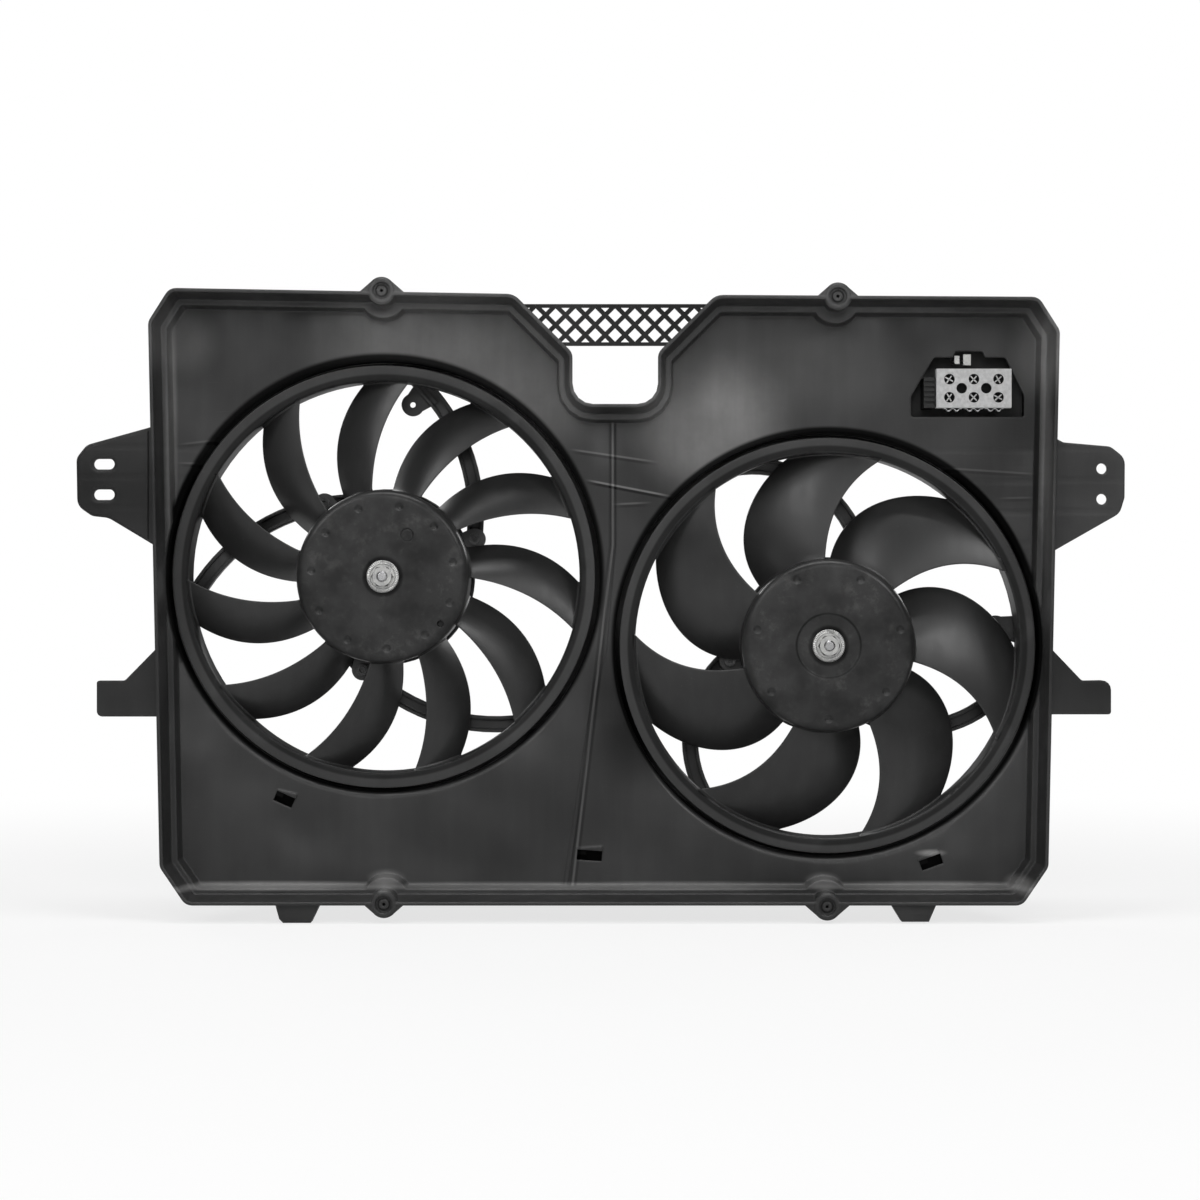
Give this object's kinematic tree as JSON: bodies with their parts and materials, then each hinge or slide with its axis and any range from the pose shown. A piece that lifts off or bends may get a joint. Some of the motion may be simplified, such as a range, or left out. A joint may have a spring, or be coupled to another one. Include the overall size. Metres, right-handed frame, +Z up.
{
  "type": "dual radiator fan shroud assembly",
  "caption": "Moulded radiator fan shroud with a stepped rim, top notch and lattice guard, two banded electric fans on swept motor arms and a speed resistor.",
  "frame": {"origin": "middle of the lower seal lip, in the plane of the rim that meets the radiator", "axes": "+Z up, +X to the right as seen from the radiator, +Y from the radiator towards the engine"},
  "size_m": [0.766, 0.112, 0.4707],
  "materials": {
    "moulding": "black glass-filled nylon, fine moulded grain with a low sheen",
    "fan_moulding": "black moulded nylon, satin",
    "connector_plastic": "black moulded plastic, satin",
    "bright_steel": "zinc plated",
    "bearing_steel": "ground steel",
    "motor_shell": "dark coated sheet steel",
    "core_steel": "stacked sheet steel",
    "copper": "enamelled copper",
    "magnet": "dull ferrite",
    "brush_card": "moulded board",
    "carbon": "dull carbon",
    "terminal_brass": "plain brass",
    "resistor_body": "light grey, slightly rough",
    "spring_strip": "spring steel"
  },
  "bodies": {
    "frame": {"shroud": "moulding", "notch_grille": "moulding", "left_motor_socket": "connector_plastic", "right_motor_socket": "connector_plastic", "resistor_housing": "connector_plastic", "left_motor_screws": "bright_steel", "right_motor_screws": "bright_steel", "resistor_screws": "bright_steel", "resistor_terminals": "bright_steel", "left_front_bearing": "bearing_steel", "left_rear_bearing": "bearing_steel", "right_front_bearing": "bearing_steel", "right_rear_bearing": "bearing_steel", "left_motor_can": "motor_shell", "left_motor_plate": "motor_shell", "right_motor_can": "motor_shell", "right_motor_plate": "motor_shell", "left_magnets": "magnet", "right_magnets": "magnet", "left_brush_plate": "brush_card", "right_brush_plate": "brush_card", "left_brushes": "carbon", "right_brushes": "carbon", "left_motor_terminals": "terminal_brass", "right_motor_terminals": "terminal_brass", "resistor_block": "resistor_body", "resistor_contacts": "spring_strip"},
    "left_rotor": {"left_fan": "fan_moulding", "left_shaft": "bright_steel", "left_fan_washer": "bright_steel", "left_fan_nut": "bright_steel", "left_armature": "core_steel", "left_winding": "copper", "left_commutator": "copper"},
    "right_rotor": {"right_fan": "fan_moulding", "right_shaft": "bright_steel", "right_fan_washer": "bright_steel", "right_fan_nut": "bright_steel", "right_armature": "core_steel", "right_winding": "copper", "right_commutator": "copper"}
  },
  "joints": [
    {"name": "left_fan_spin", "type": "hinge", "parent": "frame", "child": "left_rotor", "pos_m": [-0.1631, 0, 0.2385], "axis": [0, 1, 0], "continuous": true},
    {"name": "right_fan_spin", "type": "hinge", "parent": "frame", "child": "right_rotor", "pos_m": [0.1657, 0, 0.1875], "axis": [0, 1, 0], "continuous": true}
  ]
}
